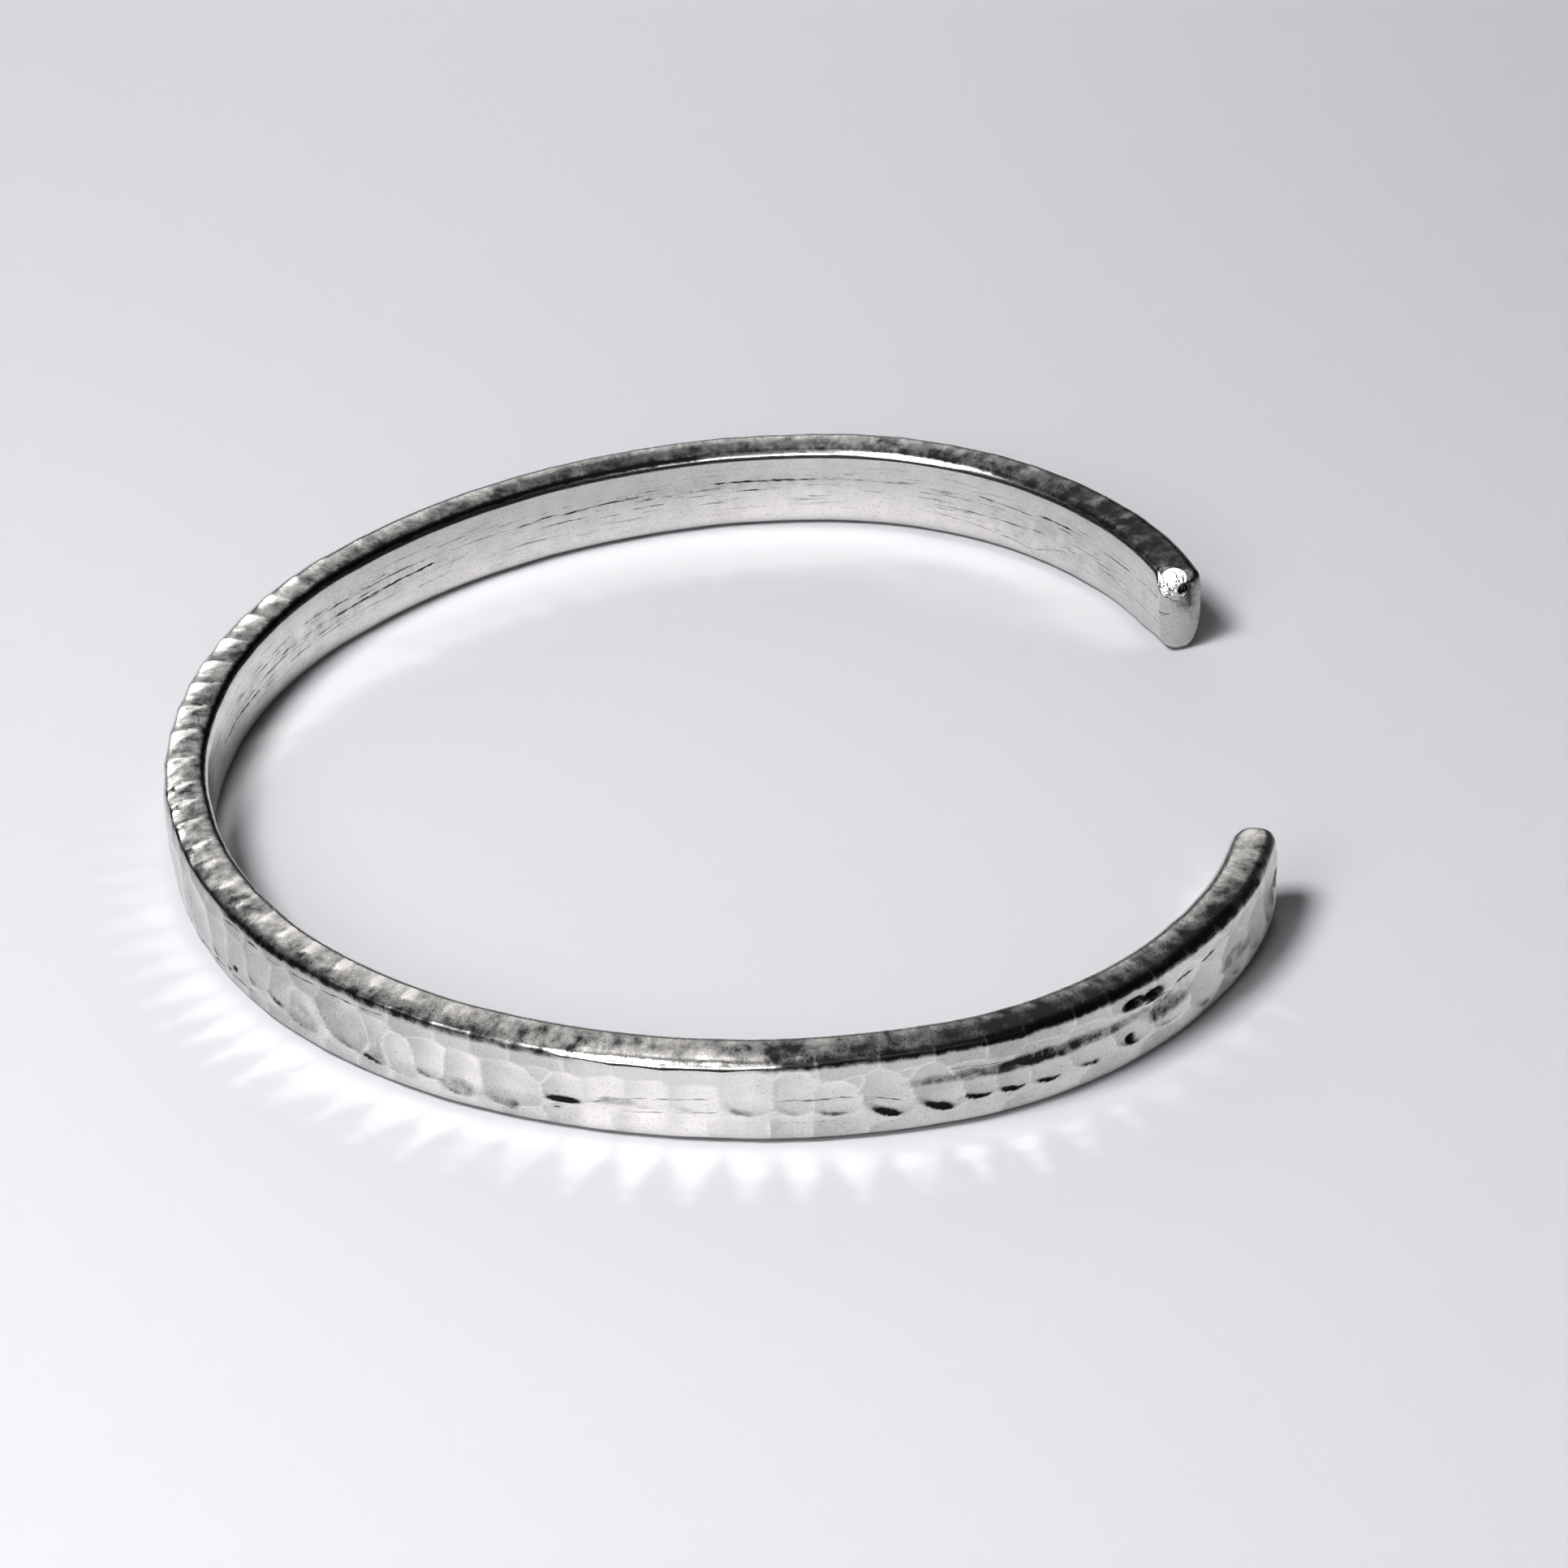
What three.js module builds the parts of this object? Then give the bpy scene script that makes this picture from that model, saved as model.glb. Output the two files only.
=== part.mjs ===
import * as THREE from "three";

// An open wrist cuff: one solid silver bar, hammered along its outer face, filed round at both
// ends, bent into an oval and lying on its side. Millimetres, +Z up, with the gap towards +X.

const barHeight = 5;
const barThickness = 2.5;
const edgeRadius = 0.55; // the four long edges, dressed with a file
const endRadiusUpright = 1.3; // rounding of the ends, seen from the side
const endRadiusAcross = 1.1; // rounding of the ends, seen from above

// The bar's middle line, as bends from the near arm's end (at -Y) to the far arm's (at +Y).
const bends = [
  { run: 24, radius: 22 },
  { run: 28.5, radius: 35 },
  { run: 47, radius: 26.5 },
  { run: 28.5, radius: 35 },
  { run: 28, radius: 22 },
];
const backBend = 2; // the bend opposite the gap
const easeRun = 6; // length over which one bend passes into the next

// Rows of overlapping hammer blows. Reach is the distance from a blow's middle at which a lone
// dent fades out, along the bar and up the face, and shift is where the row's first blow falls.
const blowRows = [
  { height: 4.4, pitch: 2.5, shift: 1.2, reachAlong: 1.8, reachUp: 1.0, depth: 0.16 },
  { height: 2.75, pitch: 2.5, shift: 0.2, reachAlong: 1.9, reachUp: 1.35, depth: 0.2 },
  { height: 0.7, pitch: 2.5, shift: 1.0, reachAlong: 1.8, reachUp: 1.0, depth: 0.15 },
];
const strayAlong = 0.6; // how far a blow may land from its place in the row, end to end
const strayUp = 0.35;
const strayDepth = 0.4; // share of the row's depth

const barSteps = 236; // facets along the bar between its filed ends
const endSteps = 3; // facets round each filed end
const faceSteps = 8; // facets up the hammered face, between the dressed edges
const edgeSteps = 1; // pairs of facets round each dressed edge

const silver = { color: 0xc8c4bf, roughness: 0.3, metalness: 1 };

const barLength = bends.reduce((length, bend) => length + bend.run, 0);

/** A repeatable value between -0.5 and 0.5. */
function scatter(seed) {
  const value = Math.sin(seed * 12.9898) * 43758.5453;
  return value - Math.floor(value) - 0.5;
}

function hammerBlows() {
  const blows = [];
  blowRows.forEach((row, rowNumber) => {
    const count = Math.ceil((barLength - row.shift) / row.pitch);
    for (let number = 0; number < count; number++) {
      const seed = 100 * rowNumber + number;
      blows.push({
        ...row,
        station: row.shift + row.pitch * number + strayAlong * scatter(seed + 0.2),
        height: row.height + strayUp * scatter(seed + 0.5),
        depth: row.depth * (1 + strayDepth * scatter(seed + 0.8)),
      });
    }
  });
  return blows;
}

/** How deep the face is hammered: the deepest blow wins, which leaves crisp ridges between. */
function dentDepth(blows, station, height) {
  let deepest = 0;
  for (const blow of blows) {
    const along = (station - blow.station) / blow.reachAlong;
    const up = (height - blow.height) / blow.reachUp;
    deepest = Math.max(deepest, blow.depth * (1 - along ** 2 - up ** 4));
  }
  return deepest;
}

/** The plain bar's section, with +X outwards and +Y up, and its four corners dressed round. */
function barSection() {
  const flatOffset = barThickness / 2 - edgeRadius;
  const topEdge = barHeight - edgeRadius;
  const quarter = Math.PI / 2;
  const section = new THREE.Shape();
  section.moveTo(-flatOffset, 0);
  section.absarc(flatOffset, edgeRadius, edgeRadius, -quarter, 0);
  for (let step = 1; step < faceSteps; step++) {
    const height = THREE.MathUtils.lerp(edgeRadius, topEdge, step / faceSteps);
    section.lineTo(barThickness / 2, height);
  }
  section.absarc(flatOffset, topEdge, edgeRadius, 0, quarter);
  section.absarc(-flatOffset, topEdge, edgeRadius, quarter, 2 * quarter);
  section.absarc(-flatOffset, edgeRadius, edgeRadius, 2 * quarter, 3 * quarter);
  return section;
}

/** Stations along the bar: close together round the filed ends, even between them. */
function stationLevels() {
  const filed = [];
  for (let step = 0; step < endSteps; step++) {
    filed.push(endRadiusUpright * (1 - Math.cos((Math.PI / 2) * (step / endSteps))));
  }
  const even = [];
  for (let step = 0; step <= barSteps; step++) {
    const share = step / barSteps;
    even.push(THREE.MathUtils.lerp(endRadiusUpright, barLength - endRadiusUpright, share));
  }
  return [...filed, ...even, ...filed.map((level) => barLength - level).reverse()];
}

/** What a filed quarter round takes off one side at a distance from the end. */
function filedAway(distance, radius) {
  const reach = Math.max(radius - distance, 0);
  return radius - Math.sqrt(radius ** 2 - reach ** 2);
}

/** Hammers and files one point of the plain bar, given as offset outwards and height. */
function workedPoint(offset, height, station, blows) {
  const face = barThickness / 2 - dentDepth(blows, station, height);
  const distance = Math.min(station, barLength - station);
  const heightLost = 2 * filedAway(distance, endRadiusUpright);
  const thicknessLost = 2 * filedAway(distance, endRadiusAcross);
  const middle = barHeight / 2;
  return {
    offset: Math.min(offset, face) * (1 - thicknessLost / barThickness),
    height: middle + (height - middle) * (1 - heightLost / barHeight),
  };
}

/** Curvature of the middle line, which ramps from one bend's value to the next. */
function curvatureAt(station) {
  let curvature = 1 / bends[0].radius;
  let joint = 0;
  for (let number = 1; number < bends.length; number++) {
    joint += bends[number - 1].run;
    const share = THREE.MathUtils.clamp((station - joint) / easeRun + 0.5, 0, 1);
    curvature += share * (1 / bends[number].radius - 1 / bends[number - 1].radius);
  }
  return curvature;
}

/** Places and headings of the stations, going clockwise, with the back heading along +Y. */
function middleLine(stations) {
  const turnToBack = bends
    .slice(0, backBend + 1)
    .map((bend, number) => bend.run / bend.radius / (number === backBend ? 2 : 1))
    .reduce((sum, turn) => sum + turn);
  const place = { x: 0, y: 0, heading: Math.PI / 2 + turnToBack };
  const places = [{ ...place }];
  for (let number = 1; number < stations.length; number++) {
    const step = stations[number] - stations[number - 1];
    const turn = step * curvatureAt(stations[number] - step / 2);
    place.x += step * Math.cos(place.heading - turn / 2);
    place.y += step * Math.sin(place.heading - turn / 2);
    place.heading -= turn;
    places.push({ ...place });
  }
  return places;
}

/** The band: a straight bar whose points are hammered and filed, and then bent round. */
function cuffBand() {
  const stations = stationLevels();
  const places = middleLine(stations);
  const blows = hammerBlows();
  const steps = stations.length - 1;
  const geometry = new THREE.ExtrudeGeometry(barSection(), {
    depth: 1,
    steps,
    curveSegments: edgeSteps,
    bevelEnabled: false,
  });
  const points = geometry.getAttribute("position");
  for (let index = 0; index < points.count; index++) {
    const number = Math.round(points.getZ(index) * steps);
    const place = places[number];
    const { offset, height } = workedPoint(
      points.getX(index),
      points.getY(index),
      stations[number],
      blows,
    );
    const x = place.x - offset * Math.sin(place.heading);
    const y = place.y + offset * Math.cos(place.heading);
    points.setXYZ(index, x, y, height);
  }
  return geometry;
}

/** Moves the middle of the shape's outline to the origin, with the underside left at zero. */
function centreOnOrigin(geometry) {
  geometry.computeBoundingBox();
  const middle = geometry.boundingBox.getCenter(new THREE.Vector3());
  geometry.translate(-middle.x, -middle.y, 0);
  geometry.computeVertexNormals();
}

const bandGeometry = cuffBand();
centreOnOrigin(bandGeometry);
const band = new THREE.Mesh(bandGeometry, new THREE.MeshStandardMaterial(silver));
band.name = "cuff_band";

const cuff = new THREE.Group();
cuff.add(band);

export default cuff;
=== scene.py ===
import math

import bmesh
import bpy
import numpy as np
from mathutils import Matrix, Vector


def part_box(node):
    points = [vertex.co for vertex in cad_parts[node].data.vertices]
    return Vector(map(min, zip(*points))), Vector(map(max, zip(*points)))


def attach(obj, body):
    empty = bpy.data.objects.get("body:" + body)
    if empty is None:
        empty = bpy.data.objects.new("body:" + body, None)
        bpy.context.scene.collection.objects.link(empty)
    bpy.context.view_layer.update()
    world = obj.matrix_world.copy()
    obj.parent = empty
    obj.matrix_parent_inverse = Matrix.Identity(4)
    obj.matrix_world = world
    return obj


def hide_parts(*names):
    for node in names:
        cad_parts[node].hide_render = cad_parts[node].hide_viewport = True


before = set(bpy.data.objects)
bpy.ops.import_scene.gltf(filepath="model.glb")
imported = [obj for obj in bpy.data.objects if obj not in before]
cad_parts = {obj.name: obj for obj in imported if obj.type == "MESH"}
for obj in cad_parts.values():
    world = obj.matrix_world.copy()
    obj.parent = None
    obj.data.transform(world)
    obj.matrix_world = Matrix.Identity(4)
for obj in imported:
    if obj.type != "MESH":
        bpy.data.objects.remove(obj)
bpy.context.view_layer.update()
bandLow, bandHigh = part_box("cuff_band")

mm = 0.001


# the cuff band, worked as a straight bar and bent last, in millimetres
# a station is the distance along it from the far arm's end, an offset the distance out from its middle
band = {
    "length": 156.0,
    "height": 5.0,
    "thickness": 2.5,
    "edgeRadius": 0.6,
    # run and radius of each bend, from the near arm's end round to the far arm's end
    "bends": [(24, 22), (28.5, 35), (47, 26.5), (28.5, 35), (28, 22)],
    "easeRun": 6.0,
    # cells of the mesh up its two walls, across its top and underside, and round an edge
    "cellsOuter": 44,
    "cellsInner": 11,
    "cellsTop": 12,
    "cellsUnder": 2,
    "cellsEdge": 4,
    # the rings crowd where it is hammered most and at the two filed ends: station, spacing there
    "rings": [(0, 0.05), (1.5, 0.17), (78, 0.17), (86, 0.125), (154.4, 0.125), (156, 0.05)],
    # how each end is filed: its radius in plan and upright, the run over which its corners go, how much of
    # the lower and upper ones, and from what share of the half height on the outer and inner side
    "farEnd": {"across": 0.4, "upright": 0.45, "corners": 2.8, "under": 1.0, "over": 0.15,
               "outer": 0.0, "inner": 0.5},
    "nearEnd": {"across": 1.2, "upright": 0.65, "corners": 1.6, "under": 0.6, "over": 0.15,
                "outer": 0.5, "inner": 0.5},
    # flats at the far end, its broken inner top corner and the bevel below: which way each faces (along,
    # outwards, up) and how far that way it lies; both end at this station
    "farFlats": [((-0.503, -0.366, 0.783), 3.4), ((-0.6, -0.8, 0.0), 0.8)],
    "farFlatsEnd": 4.0,
    # stations where one blow on the top edge ends and the next begins
    "creases": [
        -0.6, 2, 4.2, 6.8, 9.2, 11.6, 14.3, 16.6, 19.6, 22.4, 25, 27.4, 30, 32.5, 35.2, 37.4, 40, 42.6, 44.9,
        47.5, 50.1, 52.5, 55.2, 57.9, 60.1, 62.2, 64.3, 66.9, 69.1, 71.2, 73.4, 75.7, 78.3, 80.6, 82.2, 84,
        86.1, 87.9, 90.1, 92, 93.8, 95.5, 97.4, 99.6, 102, 104, 106.4, 108.4, 110.5, 113, 115.5, 117.9, 120.6,
        123, 125.2, 127.9, 130.6, 133, 135.1, 137.5, 139.7, 142.3, 144.7, 147, 149.5, 152.2, 156.6,
    ],
    # blows on the outer wall: station, height, reach along, reach up, depth, lean, how square the blow is,
    # how sharply its lower end bites
    "wallBlows": [
        (104.2, 2.2, 1.35, 1.4, 0.1, 0, 3, 0.15), (106, 2.7, 1.35, 1.35, 0.1, 0, 3, 0.2),
        (107.7, 2.3, 1.35, 1.5, 0.11, 0, 3, 0.25), (110.3, 2.3, 1.7, 1.55, 0.13, 0, 3, 0.2),
        (113.1, 2.75, 1.45, 1.05, 0.11, 0, 2.5, 0.5), (115.2, 3, 1.4, 1.15, 0.09, 0, 2.5, 0.1),
        (117.1, 3, 1.45, 1.15, 0.09, 0, 2.5, 0.1), (119.3, 3, 1.55, 1.2, 0.09, 0, 2.5, 0.1),
        (121.8, 3.4, 1.5, 1.7, 0.14, 0, 3, 0.3), (124, 3.4, 1.2, 1.7, 0.13, 0, 3, 0.12),
        (126, 2.75, 1.35, 1.15, 0.14, 0, 3, 0.3), (128.2, 2.95, 1.5, 1.75, 0.15, -0.3, 2, 1),
        (130.6, 2.9, 1.5, 1.75, 0.15, -0.35, 2, 1), (132.7, 2.3, 1.1, 0.8, 0.12, -0.1, 2, 1),
        (134.4, 2.25, 1.1, 0.8, 0.12, -0.1, 2, 1), (136.2, 2.1, 1.2, 0.75, 0.12, -0.1, 2, 0.9),
        (138.6, 2.2, 1.4, 0.85, 0.12, -0.2, 2, 0.5), (141, 2.5, 1.5, 1.1, 0.13, -0.2, 2, 0.4),
        (143.5, 2.4, 1.6, 1.2, 0.14, -0.2, 2, 0.3), (146.2, 2.2, 1.6, 1.6, 0.14, -0.3, 2, 0.3),
        (148.9, 2.3, 1.6, 1.7, 0.14, -0.2, 2, 0.3), (151.3, 2.4, 1.5, 1.6, 0.14, -0.2, 2, 0.2),
        (153.6, 2.5, 1.5, 1.7, 0.13, -0.2, 2, 0.2), (111.8, 3.4, 1, 0.9, 0.09, 0, 2, 0),
        (126.9, 3.6, 1, 0.9, 0.1, 0, 2, 0), (129.4, 3.8, 0.9, 0.7, 0.1, 0, 2, 0),
        (131.9, 3.5, 1.2, 0.9, 0.1, 0.2, 2, 0), (135.8, 3.4, 1.4, 1, 0.1, 0.2, 2, 0),
        (138.3, 3.4, 1.2, 0.9, 0.09, 0, 2, 0), (144.6, 3.5, 1.4, 0.9, 0.1, 0.2, 2, 0),
        (147, 3.5, 1.4, 0.9, 0.1, 0.2, 2, 0), (150, 3.6, 1.4, 0.9, 0.09, 0.2, 2, 0),
        (103.6, 0.5, 1.3, 0.75, 0.07, 0, 2, 0), (111, 0.5, 1.2, 0.7, 0.06, 0, 2, 0),
        (113.6, 0.9, 1.7, 0.75, 0.08, 0, 4, 0.2), (117.4, 1, 2.4, 0.85, 0.08, 0, 4, 0.3),
        (121.3, 0.9, 1.6, 0.8, 0.08, 0, 4, 0.2), (123.75, 0.9, 1.1, 0.8, 0.08, 0, 4, 0.2),
        (126.1, 0.7, 1.4, 0.8, 0.07, 0, 3, 0.1), (128.6, 0.4, 1.5, 0.6, 0.06, 0, 2, 0),
        (135.4, 0.5, 1.6, 0.8, 0.06, 0.3, 2, 0), (139.6, 0.6, 1.8, 0.9, 0.07, 0.3, 2, 0),
        (143, 0.6, 1.8, 1, 0.07, 0.3, 2, 0.1), (147.6, 0.6, 1.8, 0.9, 0.07, 0.3, 2, 0),
    ],
    # more in rows, one blow under each scallop: at the top edge all along and, where none are placed above,
    # down the wall and at its foot. For each row: its last station, the power of the scallop's reach that
    # its depth goes by, then the columns above, each as usual value, spread and seed
    "blowRows": [
        (157, 2, [(0, 0, 0), (4.9, 0.15, 0), (1, 0, 0), (1.3, 0.3, 0.3), (0.038, 0.014, 0.6), (0, 0, 0),
                  (4, 0, 0), (0, 0, 0)]),
        (103.2, 2, [(0, 1.2, 0.25), (2.6, 1.0, 0.2), (1.1, 0.4, 0.4), (1.7, 0.8, 0.5), (0.036, 0.025, 0.7),
                    (0, 0.9, 0.9), (3, 0, 0), (0.4, 0.7, 0.8)]),
        (103.2, 0, [(0, 0.6, 0.15), (0.6, 0, 0), (1.1, 0, 0), (0.8, 0.4, 0.35), (0.09, 0.04, 0.55), (0, 0, 0),
                    (2, 0, 0), (0, 0, 0)]),
    ],
    "blowReach": 0.72,        # a scallop's reach, in widths of it
    "soft": 0.35,             # the near end was struck this much more softly
    "softFrom": 148,
    "ridgeWear": 0.012,       # the ridges between the blows are worn round over this depth
    "biteDepth": 0.07,        # how deep the lower end of a blow bites
    # sharp pits and laps: station, height, reach along, reach up, depth
    "pits": [
        (141.05, 3.85, 0.6, 0.27, 0.4), (142.25, 3.8, 0.6, 0.27, 0.4), (112.6, 1.4, 0.35, 0.14, 0.1),
        (154.8, 2.6, 0.4, 0.75, 0.3), (154.1, 1.9, 0.45, 0.6, 0.1), (140.8, 1.8, 0.3, 0.28, 0.2),
        (92.65, 1.45, 0.2, 0.2, 0.12),
    ],
}

# tarnish that stayed in the hollows: wall, station, height (offset on the top), reach along and up, strength
stains = [
    ("top", 123.5, 0.3, 1.3, 0.7, 0.9), ("top", 127.3, 0.5, 1.1, 0.6, 0.95),
    ("top", 131.3, 0.4, 1.2, 0.6, 0.95), ("outer", 136, 3, 6.5, 0.42, 0.62),
    ("outer", 143.3, 2.6, 1.7, 0.7, 0.6), ("outer", 141.05, 3.85, 0.75, 0.33, 1),
    ("outer", 142.25, 3.8, 0.75, 0.33, 1), ("outer", 112.95, 1.85, 0.9, 0.2, 1.5),
    ("outer", 115.6, 2.2, 0.9, 0.25, 0.5), ("outer", 149.3, 2, 1.8, 0.5, 0.45),
    ("outer", 154.9, 2.7, 0.3, 0.7, 1.2), ("outer", 154.1, 1.9, 0.5, 0.8, 0.5),
    ("outer", 140.8, 1.8, 0.35, 0.3, 0.9), ("outer", 92.65, 1.45, 0.25, 0.2, 0.9),
    ("outer", 98.2, 1.6, 1, 0.9, 0.15), ("outer", 107.7, 1.3, 0.7, 0.5, 0.25),
    ("outer", 110.2, 1, 0.5, 0.3, 0.4), ("outer", 102.6, 2, 1, 1.2, 0.12), ("inner", 12, 2, 9, 1.2, 0.07),
    ("inner", 32, 3, 9, 0.5, 0.07), ("inner", 62, 2.6, 12, 1, 0.08),
]

# drawn lines and laps along the walls: station and height at both ends, strength; a track holds one at a time
tracks = {
    "inner": [
        [(0.5, 3.35, 3, 3.25, 0.5), (9.6, 3.32, 12.6, 3.28, 0.8), (15.6, 3.2, 16.6, 3.2, 0.4),
         (18, 3.05, 20.5, 3, 0.5), (21, 3.1, 27, 3.08, 0.45), (27, 3.08, 33.6, 3.12, 0.95),
         (38, 3.02, 43, 3, 0.6), (43, 2.85, 46, 2.8, 0.6), (47, 2.9, 50.5, 2.95, 0.45),
         (53, 3.12, 60, 3.05, 0.55)],
        [(7, 2.4, 10, 2.38, 0.4), (13, 2.08, 18, 2, 0.45), (51.2, 2.58, 59.4, 2.4, 1),
         (59.6, 2.63, 61.2, 2.62, 0.5), (63.5, 2.52, 66.7, 2.46, 0.5), (67, 2.07, 73.6, 2.42, 0.9)],
        [(9, 0.9, 13, 0.82, 0.35), (10.5, 1.65, 20, 1.55, 0.4), (50.6, 1.5, 53, 1.48, 0.4),
         (64, 1.3, 70, 1.5, 0.2)],
    ],
    "outer": [
        [(91.9, 4.2, 93.7, 4.32, 0.6), (93.9, 4.22, 95.4, 4.18, 0.75), (95.5, 4.05, 97.1, 4.05, 0.35),
         (97.5, 4.1, 99.5, 4.18, 0.7), (99.6, 4.1, 101.9, 4.18, 0.7), (101.9, 4.15, 103.9, 4.3, 0.5),
         (104.1, 4.35, 108.5, 4.45, 0.25), (141, 3.5, 143.4, 3.45, 0.9), (143.6, 3.58, 145.4, 3.68, 1),
         (145.4, 3.62, 147.2, 3.62, 1), (147.2, 3.7, 148.6, 3.98, 0.7), (149.8, 4, 150.4, 3.85, 0.5)],
        [(113.8, 1.9, 115.4, 2.2, 0.6), (115.4, 2.35, 117.2, 2.58, 0.6), (117.2, 2.58, 120.2, 2.72, 0.55),
         (122.9, 2.62, 127, 2.62, 0.6), (127, 2.6, 129.2, 2.02, 0.5), (131.1, 3.55, 134, 3.4, 0.4),
         (141.8, 3.2, 144, 3.25, 0.6)],
        [(85.4, 0.05, 87, 0.6, 1), (88, 0.42, 89.8, 0.6, 0.8), (90, 0.65, 91.9, 0.85, 0.8),
         (92, 0.85, 94.6, 1, 0.8), (105.9, 1.45, 107.1, 1.42, 0.3), (115.6, 1.58, 118, 1.74, 0.5),
         (118, 1.74, 120.6, 1.92, 0.5), (148.8, 1.7, 150.6, 1.5, 0.5)],
    ],
}

# how dark the top is painted: station, then its outer third, middle and inner third
topTones = [
    (0, 0.93, 0.94, 0.92), (8, 0.93, 0.95, 0.93), (12, 0.85, 0.93, 0.95), (16, 0.75, 0.84, 0.95),
    (20, 0.5, 0.8, 0.95), (24, 0.3, 0.68, 0.9), (28, 0.2, 0.72, 0.93), (34, 0.1, 0.88, 0.95),
    (40, 0.05, 0.92, 0.95), (44, 0, 0.86, 0.95), (48, 0, 0.72, 0.95), (56, 0, 0.64, 0.95), (60, 0, 0.62, 0.9),
    (64, 0.05, 0.66, 0.85), (68, 0.25, 0.7, 0.8), (72, 0.48, 0.82, 0.82), (76, 0.55, 0.84, 0.8),
    (80, 0.5, 0.78, 0.72), (84, 0.62, 0.76, 0.72), (88, 0.82, 0.76, 0.6), (92, 0.78, 0.74, 0.48),
    (96, 0.7, 0.62, 0.36), (100, 0.8, 0.52, 0.32), (104, 0.85, 0.5, 0.32), (106, 0.85, 0.56, 0.28),
    (108, 0.84, 0.64, 0.22), (112, 0.74, 0.74, 0.36), (116, 0.5, 0.72, 0.4), (120, 0.45, 0.74, 0.44),
    (124, 0.85, 0.83, 0.52), (128, 0.92, 0.88, 0.57), (132, 0.95, 0.95, 0.65), (136, 1, 0.98, 0.68),
    (140, 0.97, 0.92, 0.6), (144, 1, 0.87, 0.5), (148, 1, 0.85, 0.46), (152, 0.92, 0.7, 0.38),
    (154.2, 0.7, 0.48, 0.35), (156, 0.4, 0.35, 0.3),
]

# stretches of the bar: each comes in over its first two stations and goes out over its last two
stretches = {
    "sharpEdge": (97, 101, 111, 113),
    "edgeShade": (90, 93, 112.3, 113.8),
    "nearEdgeShade": (122, 123.5, 151.2, 153.2),
    "dullEdge": (108.4, 108.8, 111, 111.5),
    "innerEdgeShadeRun": (30, 35, 91, 97),
    "scallopHighlightRun": (61, 65, 105, 108),
    "rubbedFarArm": (4, 7, 19, 25),
    "footShade": (100, 105, 126, 134),
}

# slow changes along the bar: a base, then humps on it, each as size, middle, reach and how square it is
swells = {
    "scallops": (0.025, [(0.085, 77, 19, 4), (0.03, 10, 13, 2)]),     # how deep they are
    "outerWear": (0.05, [(0.1, 62, 30, 2)]),      # how far the top is beaten down along its outer edge
    "flatEdge": (0, [(0.5, 118.2, 3.6, 4)]),      # the share of the outer top edge that is flattened
    "spread": (0.07, [(0.06, 117, 6, 4)]),        # how far the outer wall leans out for each mm of height
    "spreadRun": (0, [(1, 115, 12, 4)]),
    "leftRound": (0, [(0.12, 78, 20, 2)]),        # how far the outer wall is rounded off towards its edges
    "scallopHighlightCut": (0, [(0.5, 90, 4.5, 2)]),           # the share of each scallop's painted highlight that is left out
}

# other ways in which the bar was worked, in mm
work = {
    "slant": 0.5,             # the scallops run aslant: how far, where most, and how far from there no more
    "slantMiddle": 85,
    "slantReach": 30,
    "scallopScatter": 0.7,
    "scallopInside": 0.2,     # the share of a scallop's depth that is left at the inner edge
    "innerWear": 0.07,        # top worn down along its inner edge
    "nearWear": 0.12,         # and this much more along the near arm
    "innerCrown": 0.09,       # inner wall worn back towards its edges
    "spreadFrom": 1.8,        # height from which the outer wall leans out
    "spreadBack": 1.1,
    "sharp": 0.75,            # how much of the sharp edge's rounding is undone
    "unevenTop": 0.02,
    "unevenPlan": 0.04,
    "unevenFine": 0.012,
    "innerEdgeShadeWidth": 0.16,
}


def ramp(values, nothing, whole):
    # 0 up to one value, 1 from another, straight between
    return np.clip((values - nothing) / (whole - nothing), 0, 1)


def stretch(stations, name):
    first, second, third, last = stretches[name]
    return ramp(stations, first, second) * ramp(stations, last, third)


def swell(stations, name):
    base, humps = swells[name]
    return base + sum(size * np.exp(-((stations - middle) / reach) ** square)
                      for size, middle, reach, square in humps)


def scatter(seed):
    value = np.sin(seed * 12.9898) * 43758.5453
    return value - np.floor(value) - 0.5


def softMax(first, second, reach):
    # the larger of two depths, with the ridge between them worn round
    share = np.maximum(reach - np.abs(first - second), 0) / reach
    return np.maximum(first, second) + share * share * reach / 4


def waves(stations, *lengths):
    # a slow unevenness along the bar, about 1 at its most
    total = np.zeros_like(stations)
    for number, run in enumerate(lengths):
        total += np.sin(stations * 2 * math.pi / run + 1.7 * number + 0.6)
    return total / len(lengths)


def scallopAt(stations):
    # which scallop of the top edge it is, and how far across it, from -1 at its first crease to 1 at its last
    creases = np.array(band["creases"])
    which = np.clip(np.searchsorted(creases, stations) - 1, 0, len(creases) - 2)
    width = np.diff(creases)[which]
    return which, (stations - creases[which]) / width * 2 - 1, width


def allBlows():
    creases = band["creases"]
    blows = []
    for number, (low, high) in enumerate(zip(creases[:-1], creases[1:])):
        middle = (low + high) / 2
        reach = (high - low) * band["blowReach"]
        for last, power, row in band["blowRows"]:
            if middle > last:
                continue
            shift, height, along, up, depth, lean, square, bite = [
                usual + spread * scatter(31 + number + seed) for usual, spread, seed in row]
            depth *= reach ** power * (band["soft"] if middle > band["softFrom"] else 1)
            blows.append((middle + shift, height, reach * along, up, depth, lean, square, bite))
    return blows + band["wallBlows"]


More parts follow.
